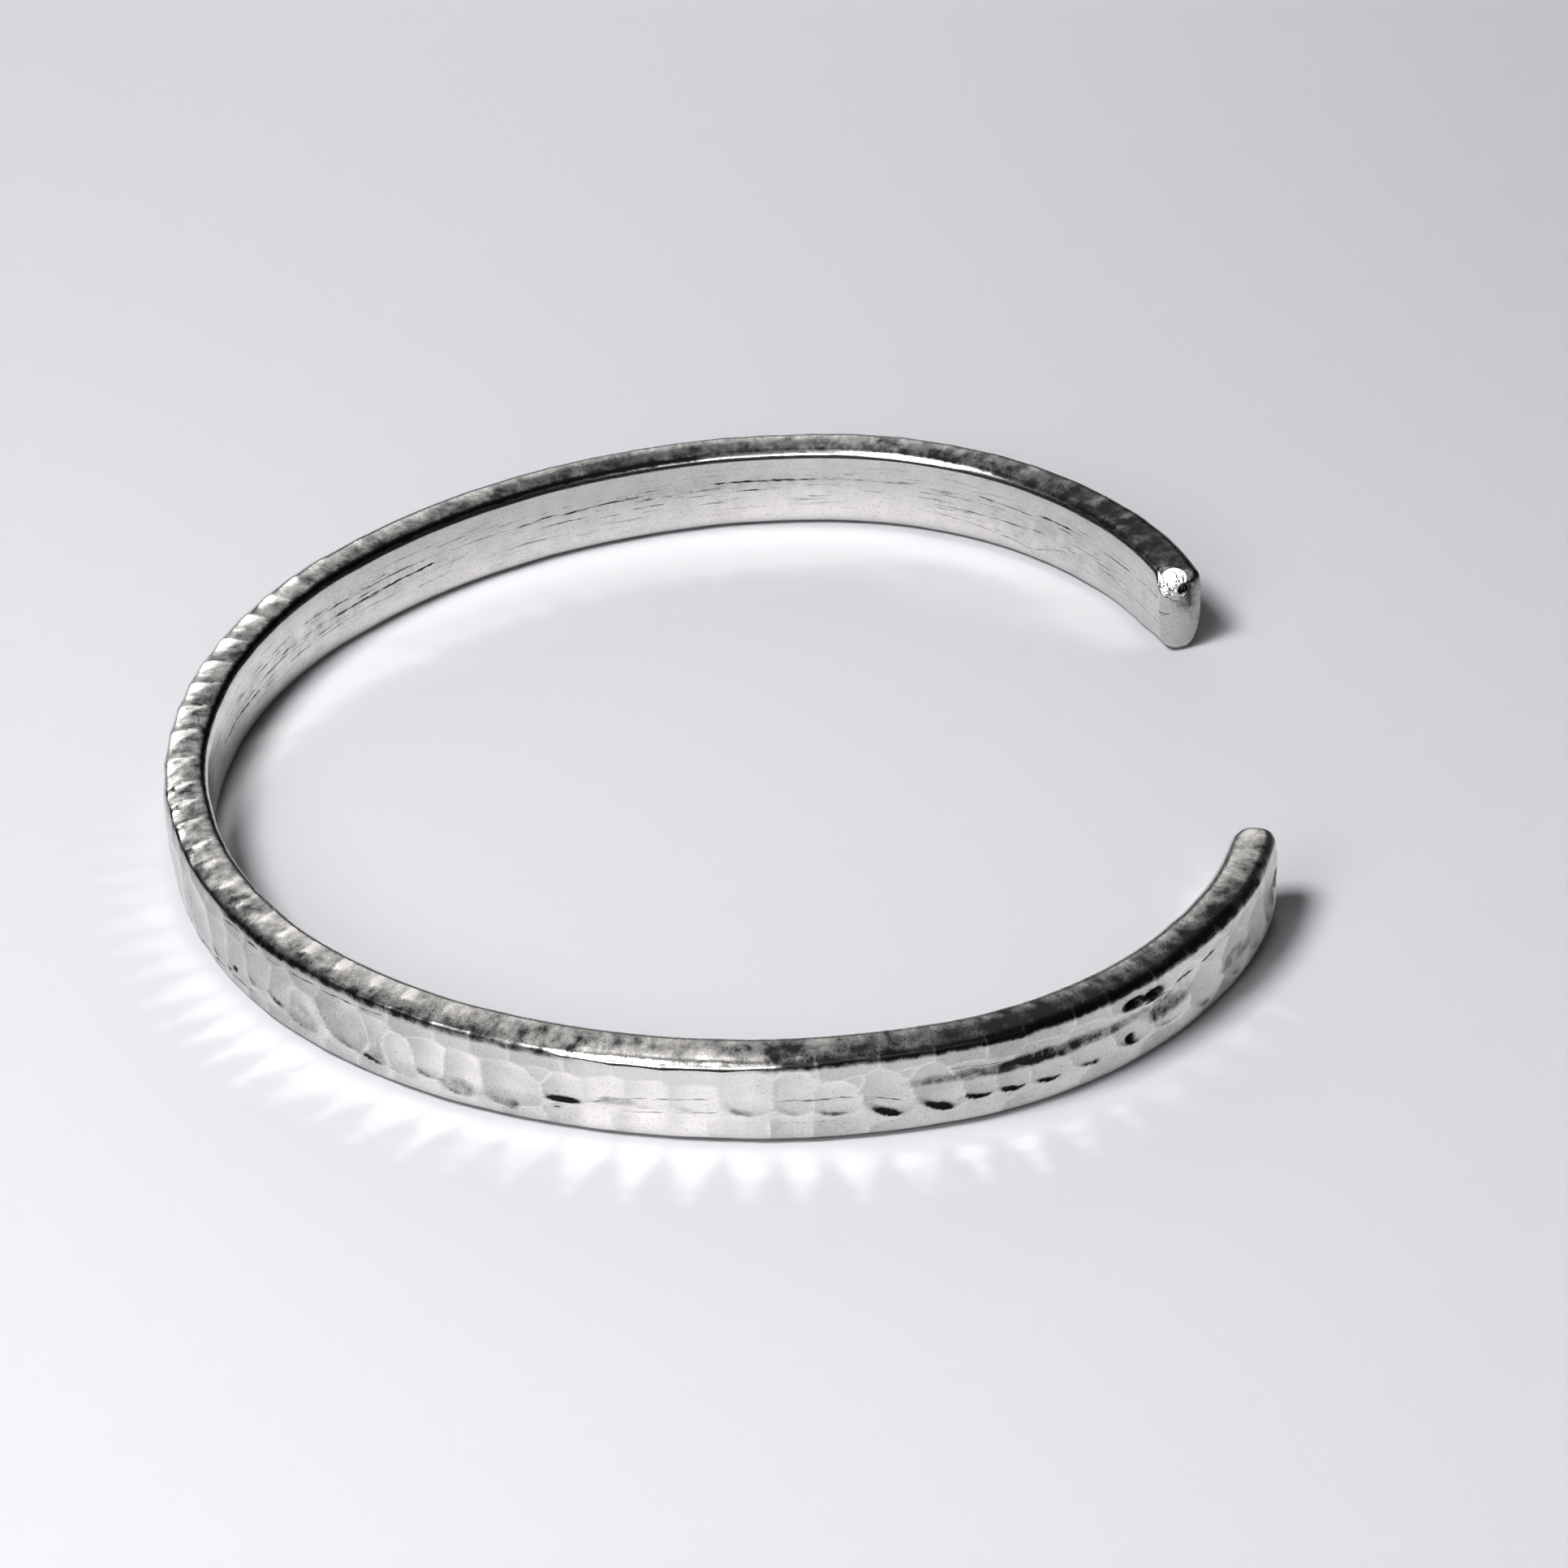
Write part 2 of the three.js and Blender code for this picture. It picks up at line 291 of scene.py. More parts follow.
def blowDepth(stations, heights):
    # how deep the wall is beaten in, a dark crescent in each blow, painted shade that darkens the lower left
    # side of each blow, and the ridges between
    # across and up go from -1 to 1 over a blow, and inside falls from 1 at its middle to 0 at its rim
    deepest, second, darkening, shadeAndDull = np.zeros((4, len(stations)))
    for number, (station, height, along, reachUp, depth, lean, square, bite) in enumerate(allBlows()):
        near = np.abs(stations - station) < along * 1.1 + abs(lean) * 2
        across = (stations[near] - station - lean * (heights[near] - height)) / along
        up = (heights[near] - height) / reachUp
        inside = 1 - across ** 2 - np.abs(up) ** square
        lip = ramp(inside, 0, 0.3)
        bitten = bite * band["biteDepth"] * ramp(up, -0.3125, -0.9375)
        hit = depth * inside + bitten * lip * lip * (3 - 2 * lip)
        before = deepest[near]
        wins = hit > before
        second[near] = np.maximum(second[near], np.minimum(before, hit))
        # each blow is darker in a crescent under its lower left lip
        crescent = ramp(up, -0.35, -0.8) ** 1.5 * ramp(inside, 0, 0.05) * ramp(inside, 0.55, 0.25)
        aside = np.clip(1.25 - 2.4 * np.abs(across + 0.3), 0, 1)
        darkening[near] = np.where(wins, 1.8 * bite * aside * crescent, darkening[near])
        # painted shade: each blow is painted darker on its left and lower side and lighter on its right and
        # upper side, as the light falls on it
        dimmed = np.clip(0.45 - 0.5 * across - 0.3 * up + 0.5 * scatter(number + 0.4), 0, 1)
        shadeAndDull[near] = np.where(wins, dimmed, shadeAndDull[near])
        wear = band["ridgeWear"]
        deepest[near] = np.where(hit > -wear, softMax(before, hit, wear), before)
    ridge = ramp(deepest - second, 0.02, 0) * ramp(second, 0, 0.01)
    for station, height, along, reachUp, depth in band["pits"]:
        near = np.abs(stations - station) < along
        away = np.hypot((stations[near] - station) / along, (heights[near] - height) / reachUp)
        deepest[near] += depth * np.clip(1 - away ** 3, 0, 1)
    return deepest, darkening, shadeAndDull, ridge


def filedAway(distance, radius):
    left = np.maximum(radius - distance, 0)
    return radius - np.sqrt(radius * radius - left * left)


def fileEnd(offsets, heights, distance, end):
    # both walls and the top are filed back towards the end, and its corners are taken off
    half, middle = band["thickness"] / 2, band["height"] / 2
    u = offsets / half * (1 - filedAway(distance, end["across"]) / half)
    v = (heights - middle) / middle * (1 - filedAway(distance, end["upright"]) / middle)
    amount = np.clip(1 - distance / end["corners"], 0, 1) ** 0.7 * np.where(v < 0, end["under"], end["over"])
    # an upright slot shape: the last part of the height closes in on a half circle
    reach = ramp(np.abs(v), np.where(offsets > 0, end["outer"], end["inner"]), 1)
    closing = np.sqrt(np.maximum(1 - reach * reach, 0.02))
    return half * u * (1 - amount * (1 - closing)), middle + middle * v


def middleLine(stations):
    # the bar's middle in plan and its heading, summed up from the near arm's end
    steps = np.linspace(0, band["length"], round(band["length"] * 40) + 1)
    curvature = np.full_like(steps, 1 / band["bends"][0][1])
    joint = 0
    for (run, radius), following in zip(band["bends"], band["bends"][1:]):
        joint += run
        share = np.clip((steps - joint) / band["easeRun"] + 0.5, 0, 1)
        curvature += share * (1 / following[1] - 1 / radius)
    turned = np.concatenate([[0], np.cumsum((curvature[1:] + curvature[:-1]) / 2 * np.diff(steps))])
    # half way along its middle bend the bar runs along Y
    first, second, (run, radius) = band["bends"][:3]
    heading = math.pi / 2 + first[0] / first[1] + second[0] / second[1] + run / radius / 2 - turned
    middle = (heading[1:] + heading[:-1]) / 2
    x = np.concatenate([[0], np.cumsum(np.cos(middle) * np.diff(steps))])
    y = np.concatenate([[0], np.cumsum(np.sin(middle) * np.diff(steps))])
    fromNear = band["length"] - stations
    return np.interp(fromNear, steps, x), np.interp(fromNear, steps, y), np.interp(fromNear, steps, heading)


def ringStations():
    steps = np.linspace(0, band["length"], round(band["length"] * 100) + 1)
    spacing = np.interp(steps, *zip(*band["rings"]))
    count = np.concatenate([[0], np.cumsum((1 / spacing[1:] + 1 / spacing[:-1]) / 2 * np.diff(steps))])
    cells = round(float(count[-1]))
    return np.interp(np.arange(cells + 1) / cells, count / count[-1], steps)


def straightBar():
    length, height, thickness = band["length"], band["height"], band["thickness"]
    bm = bmesh.new()
    place = Matrix.Translation((length / 2, 0, height / 2)) @ Matrix.Diagonal((length, thickness, height, 1))
    bmesh.ops.create_cube(bm, size=1, matrix=place)
    longEdges = [e for e in bm.edges if abs(e.verts[0].co.x - e.verts[1].co.x) > 1]
    bmesh.ops.bevel(bm, geom=longEdges, offset=band["edgeRadius"], offset_type="OFFSET",
                    segments=band["cellsEdge"], profile=0.5, affect="EDGES", material=-1)
    # edges at the two ends that run up a wall or across the top or underside
    for way, side, cells in (("z", 1, "cellsOuter"), ("z", -1, "cellsInner"),
                             ("y", 1, "cellsTop"), ("y", -1, "cellsUnder")):
        chosen = []
        for e in bm.edges:
            a, b = e.verts[0].co, e.verts[1].co
            toSide = a.y if way == "z" else a.z - height / 2
            if abs(a.x - b.x) < 1 and abs(getattr(a, way) - getattr(b, way)) > 1 and side * toSide > 0:
                chosen.append(e)
        bmesh.ops.subdivide_edges(bm, edges=chosen, cuts=band[cells] - 1)
    longEdges = [e for e in bm.edges if abs(e.verts[0].co.x - e.verts[1].co.x) > 1]
    rings = ringStations()
    bmesh.ops.subdivide_edges(bm, edges=longEdges, cuts=len(rings) - 2, use_grid_fill=True)
    for v in bm.verts:
        v.co.x = rings[round(v.co.x / length * (len(rings) - 1))]
    mesh = bpy.data.meshes.new("cuff_band_fine")
    bm.to_mesh(mesh)
    bm.free()
    return mesh


def readValues(collection, name, width=1, kind=float):
    values = np.zeros(len(collection) * width, kind)
    collection.foreach_get(name, values)
    return values.reshape(-1, width) if width > 1 else values


def storeFloats(mesh, name, values):
    layer = mesh.attributes.new(name, "FLOAT", "POINT")
    layer.data.foreach_set("value", values.astype(np.float32))


def trackFields(stations, heights, lines):
    # how far each point lies above the line that passes its station, and how strong that line is there
    points = []
    strength = np.zeros_like(stations)
    for start, startHeight, stop, stopHeight, force in lines:
        points += [(start, startHeight), (stop, stopHeight)]
        inside = np.minimum(stations - start, stop - stations)
        broken = 1 + 0.45 * np.sin(stations * 5.1 + start) * np.sin(stations * 2.3 + stop)
        strength = np.maximum(strength, force * broken * ramp(inside, 0, 0.5))
    return heights - np.interp(stations, *zip(*sorted(points))), strength


def stainField(stations, offsets, heights):
    half, top = band["thickness"] / 2, band["height"]
    masks = {
        "top": ramp(heights, top - 0.5, top - 0.1),
        "outer": ramp(offsets, half - 0.5, half - 0.2),
        "inner": ramp(-offsets, half - 0.5, half - 0.2),
    }
    total = np.zeros_like(stations)
    for wall, station, place, along, up, strength in stains:
        across = offsets if wall == "top" else heights
        away = ((stations - station) / along) ** 2 + ((across - place) / up) ** 2
        total = np.maximum(total, strength * masks[wall] * ramp(away, 1.35, 0.35))
    # painted shade: the inner top edge is painted dark on the far arm, where it shows no highlight, and from
    # the back round the left side
    innerEdgeShade = np.maximum(stretch(stations, "innerEdgeShadeRun"), 0.9 * ramp(stations, 20, 16))
    width = work["innerEdgeShadeWidth"]
    away = np.hypot(offsets + half - width, heights - top + width) / width
    return np.maximum(total, innerEdgeShade * ramp(away, 1.6, 0.6))


def topDarkness(stations, offsets, across):
    # between the three columns of the table
    inner = np.clip(0.5 - offsets / band["thickness"], 0, 1)
    places, *columns = zip(*topTones)
    outerTone, middleTone, innerTone = [np.interp(stations, places, column) for column in columns]
    level = outerTone + (middleTone - outerTone) * ramp(inner, 0.15, 0.5)
    level += (innerTone - middleTone) * ramp(inner, 0.5, 0.85)
    # a painted highlight lies on each scallop beside its first crease: round the left side in a wedge from
    # the outer edge, in front in a stroke across the inner half
    wedge = 1.3 - 1.5 * inner
    stroke = 0.62 * ramp(inner, 0.3, 0.45)
    width = wedge + (stroke - wedge) * ramp(stations, 88, 95)
    scallopHighlight = ramp(width - across, 1, 1.35) * stretch(stations, "scallopHighlightRun")
    scallopHighlight *= 1 - swell(stations, "scallopHighlightCut")
    # on the far arm it is rubbed bright at the creases
    rubbed = ramp(np.abs(across), 0.55, 0.95) * stretch(stations, "rubbedFarArm")
    rubbed *= np.clip(1.3 - 1.4 * inner, 0, 1)
    return np.clip(level * (1 - 0.95 * scallopHighlight) - 0.3 * rubbed, 0, 1)


def workEdge(stations, offsets, heights):
    # the blows on the top flattened its outer edge in front, and left it sharper just before
    edge = band["edgeRadius"]
    u, v = (offsets - band["thickness"] / 2 + edge) / edge, (heights - band["height"] + edge) / edge
    corner = (u > 0) & (v > 0)
    sharper = np.where(corner, work["sharp"] * stretch(stations, "sharpEdge"), 0)
    out = sharper * (1 / np.maximum(np.maximum(u, v), 0.5) - 1)
    flatter = np.where(corner, swell(stations, "flatEdge"), 0)
    total = np.maximum(u + v, 0.5)
    offsets = offsets + out * edge * u + flatter * edge * (u / total - u)
    heights = heights + out * edge * v + flatter * edge * (v / total - v)
    return offsets, heights, ramp(u, 0, 0.5) * ramp(v, 0, 0.5)


def topDrop(stations, offsets, heights, across, which):
    # the top is left in scallops that die out towards the inner edge, strongest round the left side
    half = band["thickness"] / 2
    depth = swell(stations, "scallops") * (1 + work["scallopScatter"] * scatter(which + 7.3))
    reachOut = ramp(offsets, -half, half)
    drop = depth * np.clip(1 - across * across, 0, 1) * (work["scallopInside"] * (1 - reachOut) + reachOut)
    # it is a little crowned: beaten down along the outer edge and worn down along the inner one
    drop += swell(stations, "outerWear") * ramp(offsets, -0.2, half) ** 2
    wear = work["innerWear"] + work["nearWear"] * ramp(stations, 100, 145)
    drop += wear * ramp(offsets, 0.25, -half) ** 2
    drop += work["unevenTop"] * waves(stations, 31, 17, 11.3)
    return drop * ramp(heights, band["height"] - 0.55, band["height"])


def wallsBeaten(stations, offsets, heights, dent):
    # both walls are a little crowned, and the outer one is beaten in all over
    half, middle = band["thickness"] / 2, band["height"] / 2
    crown = np.clip(np.abs(heights - middle) / middle, 0, 1) ** 2
    beaten = np.minimum(offsets, half - dent) + work["innerCrown"] * crown * np.clip(-offsets / half, 0, 1)
    # in front the outer wall leans out towards the top, where the blows on the edge spread it
    lean = swell(stations, "spread") * swell(stations, "spreadRun")
    lean *= np.maximum(heights - work["spreadFrom"], 0) - work["spreadBack"]
    beaten += (lean - swell(stations, "leftRound") * crown) * np.clip(offsets / half, 0, 1)
    beaten += work["unevenPlan"] * waves(stations + 9, 23, 14.7, 9.1)
    return beaten + work["unevenFine"] * waves(stations, 5.3, 3.7)


def hammerAndBend(mesh):
    stations, offsets, before = readValues(mesh.vertices, "co", 3).T
    half, length = band["thickness"] / 2, band["length"]
    dent, darkening, shadeAndDull, ridge = blowDepth(stations, before)
    offsets, heights, onEdge = workEdge(stations, offsets, before)
    slant = work["slant"] * ramp(np.abs(stations - work["slantMiddle"]), work["slantReach"], 0)
    which, across, width = scallopAt(stations - slant * (offsets + half) / band["thickness"])
    drop = topDrop(stations, offsets, heights, across, which)
    beaten = wallsBeaten(stations, offsets, heights, dent)
    heights = heights - drop

    fromEnd = np.minimum(stations, length - stations)
    filed = [fileEnd(beaten, heights, fromEnd, band[end]) for end in ("nearEnd", "farEnd")]
    place = np.vstack([stations, np.where(stations > length / 2, *filed)])
    for way, depth in band["farFlats"]:
        way = np.array(way) / np.linalg.norm(way)
        place = place - np.outer(way, np.maximum(way @ place - depth, 0) * (stations < band["farFlatsEnd"]))

    x, y, heading = middleLine(place[0])
    out, up = place[1], np.maximum(place[2], 0)
    bent = np.stack([x - out * np.sin(heading), y + out * np.cos(heading), up], 1) * mm
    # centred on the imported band's box
    middle = (bandLow + bandHigh) / 2
    bent[:, :2] += np.array(middle[:2]) - (bent.min(0) + bent.max(0))[:2] / 2
    mesh.vertices.foreach_set("co", bent.ravel())

    barPlace = mesh.attributes.new("barPlace", "FLOAT_VECTOR", "POINT")
    barPlace.data.foreach_set("vector", np.stack([stations, offsets, before], 1).astype(np.float32).ravel())
    storeFinish(mesh, stations, offsets, before, onEdge, across, darkening, shadeAndDull, ridge)


# how much darker each wall is along the bar: station, amount; below 0 some haze is taken away
wallTones = {
    "outer": [(84, 0.35), (90, 0.3), (96, 0.26), (102, 0.18), (106, 0), (112.5, 0), (114.5, -0.25),
              (120.5, -0.25), (122.5, 0), (130, 0.1), (134, 0.22), (140, 0.1), (146, -0.05)],
    "inner": [(0, 0.2), (10, 0.16), (18, 0.05), (28, 0.02), (36, 0.18), (60, 0.16)],
}


def storeFinish(mesh, stations, offsets, heights, onEdge, across, darkening, shadeAndDull, ridge):
    # where the material is dark, dull or worked, painted shade and highlight among it, at the mesh's own
    # points
    half, top = band["thickness"] / 2, band["height"]
    outer = offsets > 0
    onWall = ramp(offsets, half - 0.45, half - 0.15)
    onTop = ramp(heights, top - 0.4, top - 0.05) * ramp(offsets, -half - 0.1, -half + 0.3)
    # painted shade: the outer top edge is painted dark on both sides of its highlight in front
    edgeShade = 0.85 * stretch(stations, "edgeShade") + stretch(stations, "nearEdgeShade")
    stainAndShade = stainField(stations, offsets, heights)
    # besides the stains: the crescents in the blows, the painted shade along the outer top edge, and the
    # top's tones with their painted highlights
    for more in (darkening * onWall, edgeShade * onEdge, onTop * topDarkness(stations, offsets, across)):
        stainAndShade = np.maximum(stainAndShade, more)
    storeFloats(mesh, "stainAndShade", np.clip(stainAndShade, 0, 1))
    # the ridges between the blows, worn bright and with a painted highlight, less of it round the left side
    storeFloats(mesh, "ridge", ridge * onWall * (0.35 + 0.65 * ramp(stations, 98, 106)))
    dullEdge = 0.8 * stretch(stations, "dullEdge") * onEdge
    storeFloats(mesh, "matt", np.maximum(ramp(stations, 138, 148) * onWall, dullEdge))
    outerTone, innerTone = [np.interp(stations, *zip(*wallTones[wall])) for wall in ("outer", "inner")]
    dimmed = np.where(outer, outerTone, innerTone)
    # painted shade: in front the outer wall is darker towards its foot
    dimmed += 0.14 * onWall * ramp(heights, 1.9, 1.3) * stretch(stations, "footShade")
    # painted shade: on the outer wall each blow keeps its darker lower left side
    storeFloats(mesh, "shadeAndDull", (0.2 * shadeAndDull * onWall + dimmed) * (1 - onTop))
    storeFloats(mesh, "worked", np.clip(onTop + 0.12, 0, 1))
    storeFloats(mesh, "drawn", np.exp(-((heights - 2.6) / 1.1) ** 2) * ramp(offsets, -0.7, -1.7) * 2)
    for track in range(3):
        fields = [trackFields(stations, heights, tracks[wall][track]) for wall in ("outer", "inner")]
        for name, onOuter, onInner in zip(("lineAbove", "lineForce"), *fields):
            storeFloats(mesh, name + str(track), np.where(outer, onOuter, onInner))


def makeBand():
    mesh = straightBar()
    hammerAndBend(mesh)
    bm = bmesh.new()
    bm.from_mesh(mesh)
    bmesh.ops.recalc_face_normals(bm, faces=bm.faces)
    for face in bm.faces:
        face.smooth = True
    bm.to_mesh(mesh)
    bm.free()
    obj = bpy.data.objects.new("cuff_band_fine", mesh)
    bpy.context.scene.collection.objects.link(obj)
    print("band made,", len(mesh.polygons), "faces")
    return obj


def toLinear(hexColour):
    values = [int(hexColour[i:i + 2], 16) / 255 for i in (1, 3, 5)]
    return tuple(v / 12.92 if v <= 0.04045 else ((v + 0.055) / 1.055) ** 2.4 for v in values) + (1,)


def addNode(tree, kind, settings=None, links=None, output=0):
    # settings are the node's own or, by name or number, its sockets'; links bring in other nodes' outputs
    node = tree.nodes.new("ShaderNode" + kind)
    for name, value in (settings or {}).items():
        if isinstance(name, str) and hasattr(node, name):
            setattr(node, name, value)
        else:
            node.inputs[name].default_value = value
    for name, source in (links or {}).items():
        tree.links.new(source, node.inputs[name])
    return node.outputs[output] if node.outputs else node


silver = {
    "clean": "#EFECE8",       # bare metal, a little warm
    "tarnishAndShade": "#212222",     # silver sulphide in the hollows and lines, also the colour of the painted shade
    "gapShade": "#060606",         # painted shade in the gap of the broken corner
    "roughness": 0.08,        # where it is cleanest; the haze adds about 0.05
    # the patterns, in features per millimetre; the real specks are finer than 0.1 mm and would not show
    "grain": 9.0,             # peening specks 0.1 mm across
    "cloud": 0.7,             # patches of haze 1.5 mm across
    "mottle": 2.2,            # 0.5 mm, lets the drawn lines wander
    "streak": 2.6,            # dark specks 0.25 mm wide, drawn out along the bar
    "patch": 1.3,             # 0.8 mm, where the tarnish breaks up
    "thread": 1.0,            # polishing streaks 0.15 mm wide and 3 mm long
    "crumb": 2.6,             # facets 0.4 mm across in the broken corner, drawn coarser than its crystals
    "spark": 8.0,             # 0.1 mm
    "relief": 0.00004,        # m
    "cornerPlace": (0.2, -0.6, 4.45),     # the broken corner, in station, offset and height
    "gapPlace": (0.1, -0.1, 4.5),
}


def drawnLines(tree, mottle):
    lines = None
    for track in range(3):
        above = addNode(tree, "Attribute", {"attribute_name": "lineAbove%d" % track}, output="Fac")
        force = addNode(tree, "Attribute", {"attribute_name": "lineForce%d" % track}, output="Fac")
        shaken = addNode(tree, "Math", {"operation": "MULTIPLY_ADD", 1: 0.22}, {0: mottle, 2: above})
        centred = addNode(tree, "Math", {"operation": "SUBTRACT", 1: 0.11}, {0: shaken})
        away = addNode(tree, "Math", {"operation": "ABSOLUTE"}, {0: centred})
        reach = addNode(tree, "Math", {"operation": "MULTIPLY_ADD", 1: 0.08, 2: 0.02}, {0: force})
        inside = addNode(tree, "MapRange", {"interpolation_type": "SMOOTHSTEP", "To Min": 1.0, "To Max": 0.0},
                         {"Value": away, "From Max": reach})
        line = addNode(tree, "Math", {"operation": "MULTIPLY"}, {0: inside, 1: force})
        if lines:
            line = addNode(tree, "Math", {"operation": "MAXIMUM"}, {0: lines, 1: line})
        lines = line
    return lines


def brokenCorner(tree, place):
    # the broken corner of the far end: bright facets round a gap with near black painted shade, with sparks
    # left in it
    fromCorner, fromGap = [
        addNode(tree, "VectorMath", {"operation": "DISTANCE", 1: silver[name]}, {0: place}, "Value")
        for name in ("cornerPlace", "gapPlace")]
    corner = addNode(tree, "MapRange", {"From Min": 1.0, "From Max": 0.85}, {"Value": fromCorner})
    crumb = addNode(tree, "TexVoronoi", {"Scale": silver["crumb"]}, {"Vector": place})
    facets = addNode(tree, "Math", {"operation": "MULTIPLY"}, {0: crumb, 1: corner})
    gapShade = addNode(tree, "MapRange", {"From Min": 0.55, "From Max": 0.48}, {"Value": fromGap})
    spark = addNode(tree, "TexVoronoi", {"Scale": silver["spark"]}, {"Vector": place})
    sparkless = addNode(tree, "MapRange", {"From Min": 0.22, "From Max": 0.32}, {"Value": spark})
    return corner, facets, addNode(tree, "Math", {"operation": "MULTIPLY"}, {0: gapShade, 1: sparkless})


def sterlingSilver():
    # rolled bar, hammered and rubbed by hand: satin, bright on ridges, near black in lines and hollows
    material = bpy.data.materials.new("sterling silver")
    material.use_nodes = True
    tree = material.node_tree
    tree.nodes.clear()
    stainAndShade, ridge, matt, shadeAndDull, worked, drawn = [
        addNode(tree, "Attribute", {"attribute_name": name}, output="Fac")
        for name in ("stainAndShade", "ridge", "matt", "shadeAndDull", "worked", "drawn")]
    place = addNode(tree, "Attribute", {"attribute_name": "barPlace"}, output="Vector")
    streaked, smeared, pulled = [
        addNode(tree, "Mapping", {"Scale": scale}, {"Vector": place})
        for scale in ((0.3, 1.6, 1.6), (1.15, 0.75, 0.85), (0.35, 1.0, 7.0))]
    grain, cloud, mottle, streak, patch, thread = [
        addNode(tree, "TexNoise", {"Scale": silver[name], "Detail": detail, "Roughness": rough},
                {"Vector": where})
        for name, detail, rough, where in (
            ("grain", 2.0, 0.5, place), ("cloud", 4.0, 0.6, place), ("mottle", 5.0, 0.65, place),
            ("streak", 3.0, 0.6, streaked), ("patch", 5.0, 0.55, smeared), ("thread", 4.0, 0.7, pulled))]
    lines = drawnLines(tree, mottle)
    corner, facets, gapShade = brokenCorner(tree, place)

    # hollows and painted shade: the stain breaks up at its borders, most where it is half dark, and keeps off
    # the broken corner
    broken = addNode(tree, "MapRange", {"From Min": 0.3, "From Max": 0.7, "To Min": -1.4, "To Max": 1.4},
                     {"Value": patch})
    squared = addNode(tree, "Math", {"operation": "MULTIPLY"}, {0: stainAndShade, 1: stainAndShade})
    between = addNode(tree, "Math", {"operation": "SUBTRACT"}, {0: stainAndShade, 1: squared})
    swung = addNode(tree, "Math", {"operation": "MULTIPLY_ADD"}, {0: broken, 1: between, 2: stainAndShade})
    settled = addNode(tree, "Math", {"operation": "MULTIPLY", "use_clamp": True, 1: 0.95}, {0: swung})
    offCorner = addNode(tree, "Math", {"operation": "SUBTRACT", 0: 1.0}, {1: corner})
    hollow = addNode(tree, "Math", {"operation": "MULTIPLY"}, {0: settled, 1: offCorner})
    dark = addNode(tree, "Math", {"operation": "MAXIMUM"}, {0: lines, 1: hollow})

    # fine dark specks, some drawn out along the bar, and thin broken streaks along the inner wall
    pepper, specks, threads = [
        addNode(tree, "MapRange", {"From Min": low, "From Max": high, "To Max": most}, {"Value": value})
        for value, low, high, most in (
            (streak, 0.66, 0.78, 0.35), (grain, 0.56, 0.76, 0.3), (thread, 0.57, 0.65, 0.8))]
    threadsHere = addNode(tree, "Math", {"operation": "MULTIPLY"}, {0: threads, 1: drawn})
    peppered = addNode(tree, "Math", {"operation": "ADD"}, {0: pepper, 1: specks})
    fine = addNode(tree, "Math", {"operation": "ADD"}, {0: peppered, 1: threadsHere})
    darkening = addNode(tree, "Math", {"operation": "ADD", "use_clamp": True}, {0: dark, 1: fine})

    # haze over all of it, with the painted shade of the blows, and ridges between the blows lightened: worn
    # bright, and a painted highlight
    haze = addNode(tree, "MapRange", {"From Min": 0.3, "From Max": 0.75, "To Max": 0.14}, {"Value": cloud})
    # the painted shade of the blows comes in here, with the darkness along the walls
    dimmed = addNode(tree, "Math", {"operation": "ADD"}, {0: shadeAndDull, 1: haze})
    rubbed = addNode(tree, "Math", {"operation": "MULTIPLY_ADD", "use_clamp": True, 1: -0.3},
                     {0: ridge, 2: dimmed})
    soiledAndShaded = addNode(tree, "Math", {"operation": "ADD", "use_clamp": True}, {0: darkening, 1: rubbed})
    clean, tarnishAndShade, black = [toLinear(silver[name]) for name in ("clean", "tarnishAndShade", "gapShade")]
    # tarnish and painted shade darken the clean metal
    tarnished = addNode(tree, "Mix", {"data_type": "RGBA", 6: clean, 7: tarnishAndShade}, {0: soiledAndShaded}, 2)
    # painted shade: the gap in the broken corner is near black
    colour = addNode(tree, "Mix", {"data_type": "RGBA", 7: black}, {0: gapShade, 6: tarnished}, 2)

    # satin with the haze, rougher where it is matt or darkened and in the painted shade of the gap
    rough = addNode(tree, "Math", {"operation": "MULTIPLY_ADD", 1: 0.1, 2: silver["roughness"]}, {0: cloud})
    for amount, source in ((0.25, matt), (0.25, darkening), (0.4, gapShade)):
        rough = addNode(tree, "Math", {"operation": "MULTIPLY_ADD", 1: amount}, {0: source, 2: rough})

    # a very fine relief, strongest on the worked top and in the broken corner
    relief = grain
    for amount, source in ((3.0, patch), (-2.0, lines), (-2.2, facets)):
        relief = addNode(tree, "Math", {"operation": "MULTIPLY_ADD", 1: amount}, {0: source, 2: relief})
    roughed = addNode(tree, "Math", {"operation": "MULTIPLY_ADD", "use_clamp": True, 1: 0.18},
                      {0: worked, 2: corner})
    bump = addNode(tree, "Bump", {"Distance": silver["relief"]}, {"Height": relief, "Strength": roughed})
    shader = addNode(tree, "BsdfPrincipled", {"Metallic": 1.0},
                     {"Base Color": colour, "Roughness": rough, "Normal": bump})
    addNode(tree, "OutputMaterial", links={"Surface": shader})
    return material


cuff = makeBand()
cuff.data.materials.append(sterlingSilver())
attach(cuff, "root")
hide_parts("cuff_band")


